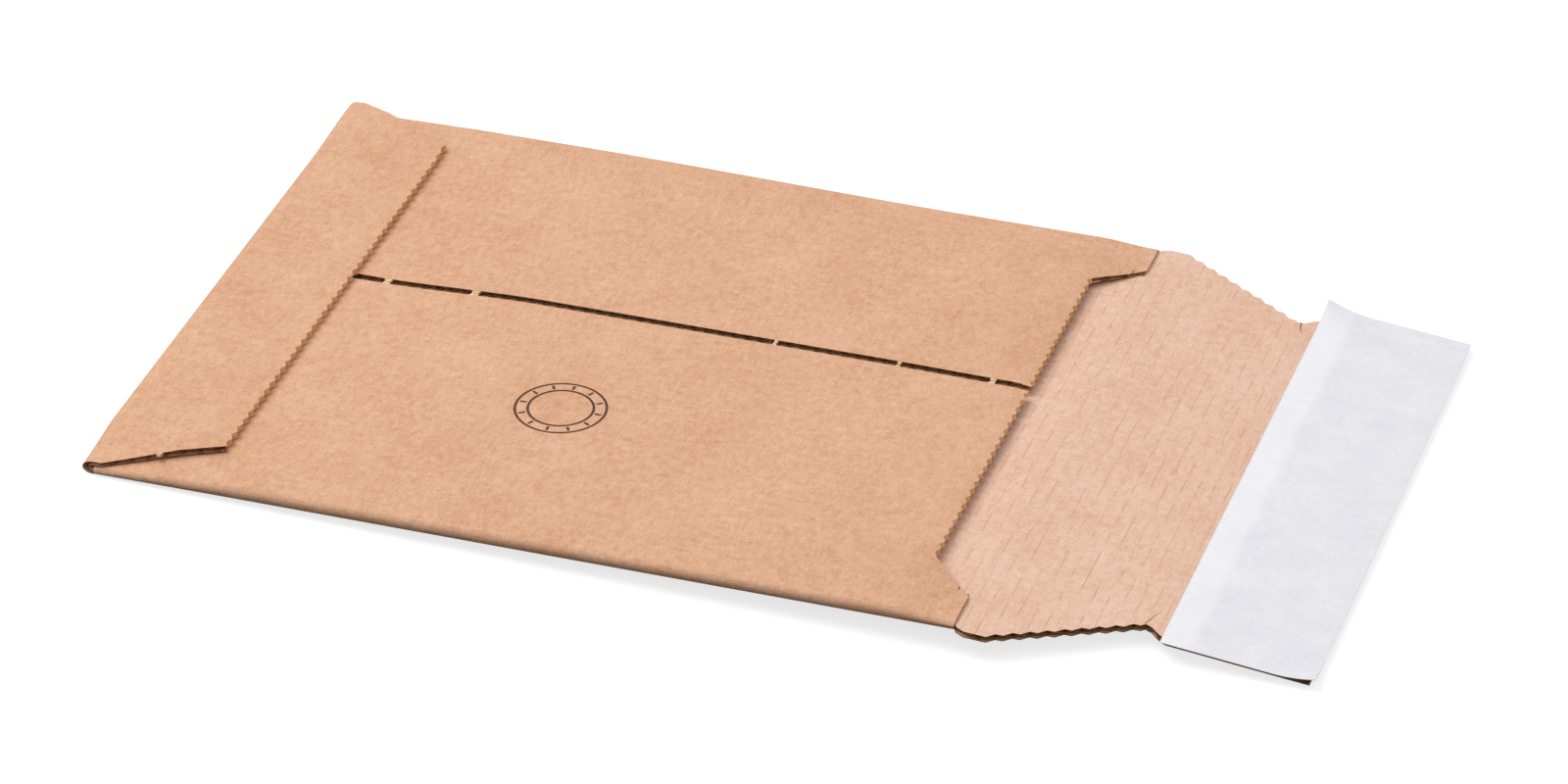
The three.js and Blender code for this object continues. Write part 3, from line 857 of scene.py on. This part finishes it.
def liner_finish():
    finish, tree = new_finish("liner_paper")
    clouds = noise(tree, 9, 3)
    grain = noise(tree, 0.5, 3)
    blur = (LINER_MARGIN_END - MARGIN_BLUR, LINER_MARGIN_END + MARGIN_BLUR)
    margin = ramp_between(tree, along_x(tree), blur, (MARGIN_LIGHTER, 0), interpolation_type="SMOOTHSTEP")
    flecks = noise(tree, 2.2, 3, roughness=0.7)
    mottle = weighted(tree, [(clouds, 0.9), (flecks, 0.8), (grain, 1.0)])
    factor = maths(tree, "ADD", maths(tree, "ADD", mottle, 0.5), margin)
    ramp = add(tree, "ShaderNodeValToRGB", {"Fac": factor})
    ramp.color_ramp.elements[0].color = LINER_SHADE
    ramp.color_ramp.elements[1].color = LINER_WHITE
    bump = add(tree, "ShaderNodeBump", {"Height": factor, "Distance": 0.05 * MM, "Strength": 0.6})
    shader = tree.nodes["Principled BSDF"]
    tree.links.new(ramp.outputs["Color"], shader.inputs["Base Color"])
    tree.links.new(bump.outputs["Normal"], shader.inputs["Normal"])
    shader.inputs["Roughness"].default_value = 0.55
    return finish


def corner_curl(s, y, corner_s, corner_y, reach, height):
    """How far a corner of the liner stands up at a place."""
    away = math.hypot(s - corner_s, y - corner_y)
    share = max(0, 1 - away / reach)
    return height * share * share


FAR_CURL = (LINER_START, LINER_FAR, 11, 2.0)     # a corner, how far its curl reaches and how high
NEAR_CURL = (LINER_END, LINER_NEAR, 9, 1.4)
bpy.ops.object.select_all(action="DESELECT")
bpy.ops.mesh.primitive_grid_add(x_subdivisions=34, y_subdivisions=94, size=2)
liner = bpy.context.object
liner.name = "liner_sheet"
liner.data.name = "liner_sheet"
for vertex in liner.data.vertices:
    s = LINER_START + (LINER_END - LINER_START) * (vertex.co.x + 1) / 2
    y = LINER_NEAR + (LINER_FAR - LINER_NEAR) * (vertex.co.y + 1) / 2
    up = corner_curl(s, y, *FAR_CURL) + corner_curl(s, y, *NEAR_CURL)
    vertex.co = (s, y, LINER_HEIGHT + LINER_PAPER + up)
hang(liner)
liner.data.materials.append(liner_finish())
liner.data.materials.append(liner.data.materials[0])
thicken(liner, LINER_PAPER)
smooth_shading(liner, LINER_SMOOTHING)
liner.data.transform(pocket_place)
print("liner", LINER_END - LINER_START, "by", LINER_FAR - LINER_NEAR, "mm")

# %% [markdown]
# ## Torn bridges and the printed ring
# The knife leaves short uncut bridges across the slit, and they tear into small pale tufts when the board
# is folded. Each is a cube pulled over the slit and roughened with a seeded shake. One more tuft sticks out
# at the near end of the bottom flap. The panel carries a plain double ring with dashes between its two
# lines: flattened rings that lie a hair above the paper.

# %% Tufts across the slit
TUFTS = [(-62.0, 2.0), (-41.0, 2.3), (29.5, 1.0), (58.0, 1.1), (79.5, 1.6)]     # place and length
END_TUFT = -82.3
END_TUFT_LENGTH = 1.3
TUFT_CUTS = 3
TUFT_NARROWING = 0.4
TUFT_REACH = 1.15          # a tuft's length across the slit, of which the root stays in the panel
TUFT_ROOT = 0.25
TUFT_DEPTH = 0.3
TUFT_HEIGHT = 0.5
TUFT_ABOVE = 0.06          # no tuft stands higher than this above the panel
RAGGED = 0.12
RAGGED_REACH = 0.3
shake = random.Random(7)


def panel_top(x):
    """Height of the side panels' outer face."""
    return PANEL_TOP + lift_at(x)


tuft_places = [(x, length, side, edge, panel_top(x)) for x, length in TUFTS
               for side, edge in ((-1, SLIT_NEAR), (1, SLIT_FAR))]
end_top = settle(END_TUFT, -bottom_end(END_TUFT), 2 * BOTTOM_RADIUS)[2]
tuft_places.append((END_TUFT, END_TUFT_LENGTH, 1, -bottom_end(END_TUFT), end_top))
tuft_parts = []
for tuft_x, tuft_length, side, edge, top in tuft_places:
    bpy.ops.mesh.primitive_cube_add(size=1)
    part = bpy.context.object
    edit(part)
    bpy.ops.mesh.select_all(action="SELECT")
    bpy.ops.mesh.subdivide(number_cuts=TUFT_CUTS)
    close()
    for vertex in part.data.vertices:
        out = 0.5 - side * vertex.co.y
        ragged = shake.uniform(-0.5, 0.5)
        x = tuft_x + tuft_length * (vertex.co.x * (1 - TUFT_NARROWING * out) + RAGGED * ragged)
        y = edge - side * (TUFT_REACH * out - TUFT_ROOT) * (1 + RAGGED_REACH * ragged)
        z = top - TUFT_DEPTH + TUFT_HEIGHT * vertex.co.z + RAGGED * ragged
        vertex.co = (x, y, min(z, top + TUFT_ABOVE))
    tuft_parts.append(part)


def join(parts, name):
    """Joins several objects into one."""
    bpy.ops.object.select_all(action="DESELECT")
    for part in parts:
        part.select_set(True)
    bpy.context.view_layer.objects.active = parts[0]
    bpy.ops.object.join()
    whole = bpy.context.object
    whole.name = name
    whole.data.name = name
    return whole


tufts = join(tuft_parts, "torn_slit_bridges")
tufts.data.materials.append(torn_finish)
tufts.data.transform(pocket_place)
print("tufts", len(tuft_places), "faces", len(tufts.data.polygons))

# %% The ring printed on the near panel
MARK_X = -6.3
MARK_Y = -30.1
RING_RADII = (10.0, 7.2)
RING_LINE = 0.3            # half the width of the printed lines
DASHES = 12
DASH_CIRCLE = 8.6
DASH_LENGTH = 1.5
INK_HEIGHT = 0.03
ring_parts = []
for radius in RING_RADII:
    bpy.ops.mesh.primitive_torus_add(major_radius=radius, minor_radius=RING_LINE, major_segments=96,
                                     minor_segments=8)
    ring_parts.append(bpy.context.object)
for dash in range(DASHES):
    angle = 2 * math.pi * dash / DASHES
    dash_place = (DASH_CIRCLE * math.cos(angle), DASH_CIRCLE * math.sin(angle), 0)
    dash_size = (DASH_LENGTH, 2 * RING_LINE, 2 * RING_LINE)
    bpy.ops.mesh.primitive_cube_add(size=1, location=dash_place, rotation=(0, 0, angle), scale=dash_size)
    bpy.ops.object.transform_apply(location=True, rotation=True, scale=True)
    ring_parts.append(bpy.context.object)
ring = join(ring_parts, "printed_ring")
for vertex in ring.data.vertices:
    x, y = vertex.co.x + MARK_X, vertex.co.y + MARK_Y
    vertex.co = (x, y, panel_top(x) + INK_HEIGHT * (0.5 + 0.5 * vertex.co.z / RING_LINE))
ink, ink_tree = new_finish("dark_brown_ink")
ink_shader = ink_tree.nodes["Principled BSDF"]
ink_patches = add(ink_tree, "ShaderNodeValToRGB", {"Fac": noise(ink_tree, 0.8, 3)})
ink_patches.color_ramp.elements[0].color = INK_DARK
ink_patches.color_ramp.elements[1].color = INK_LIGHT
ink_tree.links.new(ink_patches.outputs["Color"], ink_shader.inputs["Base Color"])
ink_shader.inputs["Roughness"].default_value = 0.8
ring.data.materials.append(ink)
ring.data.transform(pocket_place)
print("ring", len(ring.data.polygons), "faces, radii", RING_RADII, "mm")

# %% [markdown]
# ## What moves with what
# The pocket's papers, flutings, tufts and ring stay with the pocket. The flap's two papers are bent smoothly
# across the closure crease, as the board is, and are attached to no body. The flap's fluting, its tears and the
# liner go round with the flap. The glue and the adhesive keep their plain solids, and get a finish of their own.

# %% Bodies and replaced nodes
for piece in [outer_paper, inner_paper, tufts, ring] + flutings:
    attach(piece, "pocket")
    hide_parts("pocket")
for piece in [flap_inside, flap_outside]:
    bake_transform(piece)
    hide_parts("closure_flap")
for piece in [flap_fluting] + tears:
    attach(piece, "flap")
    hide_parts("closure_flap")
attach(liner, "flap")
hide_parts("release_liner")

# %% Glue and adhesive keep their solids
STREAK_SHADE = 0.85


def glue_finish(name, colour, roughness):
    """A streaky film, darker where it is thicker."""
    finish, tree = new_finish(name)
    streaks = noise(tree, 2.5, 3, stretch=(1, 0.3, 1))
    ramp = add(tree, "ShaderNodeValToRGB", {"Fac": streaks})
    ramp.color_ramp.elements[0].color = tuple(part * STREAK_SHADE for part in colour[:3]) + (1,)
    ramp.color_ramp.elements[1].color = colour
    shader = tree.nodes["Principled BSDF"]
    tree.links.new(ramp.outputs["Color"], shader.inputs["Base Color"])
    shader.inputs["Roughness"].default_value = roughness
    return finish


GLUE_NODES = {"bottom_flap_glue_far": ("dried_glue", DRIED_GLUE, 0.6),
              "bottom_flap_glue_near": ("dried_glue", DRIED_GLUE, 0.6),
              "adhesive_strip": ("adhesive", ADHESIVE, 0.3)}
for node, (name, colour, roughness) in GLUE_NODES.items():
    frame["nodes"][node].data.materials.clear()
    frame["nodes"][node].data.materials.append(glue_finish(name, colour, roughness))

# %% [markdown]
# ## Table, light and camera
# The mailer lies on a white table that fades into the background. To the camera the table glows almost
# white, and to every other ray it is dark, so it throws little light up into the folds and still takes a
# shadow. A soft sky, brighter overhead than at the horizon, and one large square light at the left give the
# rest.

# %% Table
TABLE_TO_OTHERS = 0.12
TABLE_TO_CAMERA = 0.35
TABLE_GLOW = 0.75
TABLE_SIZE = 12


def table_finish():
    """Matt white to the camera, and darker to all other rays."""
    finish, tree = new_finish("pale_table")
    shader = tree.nodes["Principled BSDF"]
    camera_ray = add(tree, "ShaderNodeLightPath").outputs["Is Camera Ray"]
    colour = add(tree, "ShaderNodeMix", {"Factor": camera_ray}, data_type="RGBA")
    colour.inputs["A"].default_value = (TABLE_TO_OTHERS, TABLE_TO_OTHERS, TABLE_TO_OTHERS, 1)
    colour.inputs["B"].default_value = (TABLE_TO_CAMERA, TABLE_TO_CAMERA, TABLE_TO_CAMERA, 1)
    glow = maths(tree, "MULTIPLY", camera_ray, TABLE_GLOW)
    tree.links.new(glow, shader.inputs["Emission Strength"])
    shader.inputs["Emission Color"].default_value = (1, 1, 1, 1)
    tree.links.new(colour.outputs["Result"], shader.inputs["Base Color"])
    shader.inputs["Roughness"].default_value = 1
    shader.inputs["Specular IOR Level"].default_value = 0
    return finish


bpy.ops.object.select_all(action="DESELECT")
bpy.ops.mesh.primitive_plane_add(size=TABLE_SIZE, location=(0, 0, 0))
table = bpy.context.object
table.name = "table"
table.data.materials.append(table_finish())

# %% Light
WORLD_LEVEL = 0.60
LOW_SKY = 0.25             # the sky's light at the horizon and overhead, as shares of its level
HIGH_SKY = 1.25
FULL_SKY = 0.8             # how far up the sky has its full light
KEY_PLACE = (-1.3, -0.1, 2.0)
KEY_SIZE = 1.5
KEY_POWER = 32.5
world = bpy.data.worlds.new("studio")
bpy.context.scene.world = world
world.use_nodes = True
sky = world.node_tree
path = add(sky, "ShaderNodeLightPath")
seen_rays = maths(sky, "ADD", path.outputs["Is Camera Ray"], path.outputs["Is Glossy Ray"])
seen_rays = maths(sky, "ADD", seen_rays, path.outputs["Is Transmission Ray"])
seen_rays = maths(sky, "MINIMUM", seen_rays, 1.0)
direction = add(sky, "ShaderNodeTexCoord").outputs["Generated"]
upward = add(sky, "ShaderNodeSeparateXYZ", {0: direction}).outputs["Z"]
sky_levels = (WORLD_LEVEL * LOW_SKY, WORLD_LEVEL * HIGH_SKY)
overhead = ramp_between(sky, upward, (0, FULL_SKY), sky_levels)
level = add(sky, "ShaderNodeMix", {"Factor": seen_rays, "A": overhead, "B": 1.0}).outputs["Result"]
sky.links.new(level, sky.nodes["Background"].inputs["Strength"])
sky.nodes["Background"].inputs["Color"].default_value = (1, 1, 1, 1)

bpy.ops.object.light_add(type="AREA", location=KEY_PLACE)
key = bpy.context.object
key.data.shape = "SQUARE"
key.data.size = KEY_SIZE
key.data.energy = KEY_POWER
key.rotation_euler = (Vector((0, 0, 0)) - key.location).to_track_quat("-Z", "Y").to_euler()

# %% Camera
LENS = 159.55
CAMERA_AZIMUTH = 18.094
CAMERA_ELEVATION = 32.053
CAMERA_DISTANCE = 1.52415
CAMERA_TARGET = Vector((0.0353655, -0.0014915, 0))
azimuth, elevation = math.radians(CAMERA_AZIMUTH), math.radians(CAMERA_ELEVATION)
level_reach = math.cos(elevation)
back = Vector((math.sin(azimuth) * level_reach, -math.cos(azimuth) * level_reach, math.sin(elevation)))
turned = (-back).to_track_quat("-Z", "Y").to_matrix().to_4x4()
bpy.ops.object.camera_add()
camera = bpy.context.object
camera.data.lens = LENS
camera.data.sensor_width = 36
camera.matrix_world = plane_place @ Matrix.Translation(CAMERA_TARGET + back * CAMERA_DISTANCE) @ turned
camera.data.clip_start, camera.data.clip_end = 0.05, 20
bpy.context.scene.camera = camera
bpy.context.scene.view_settings.view_transform = "Standard"
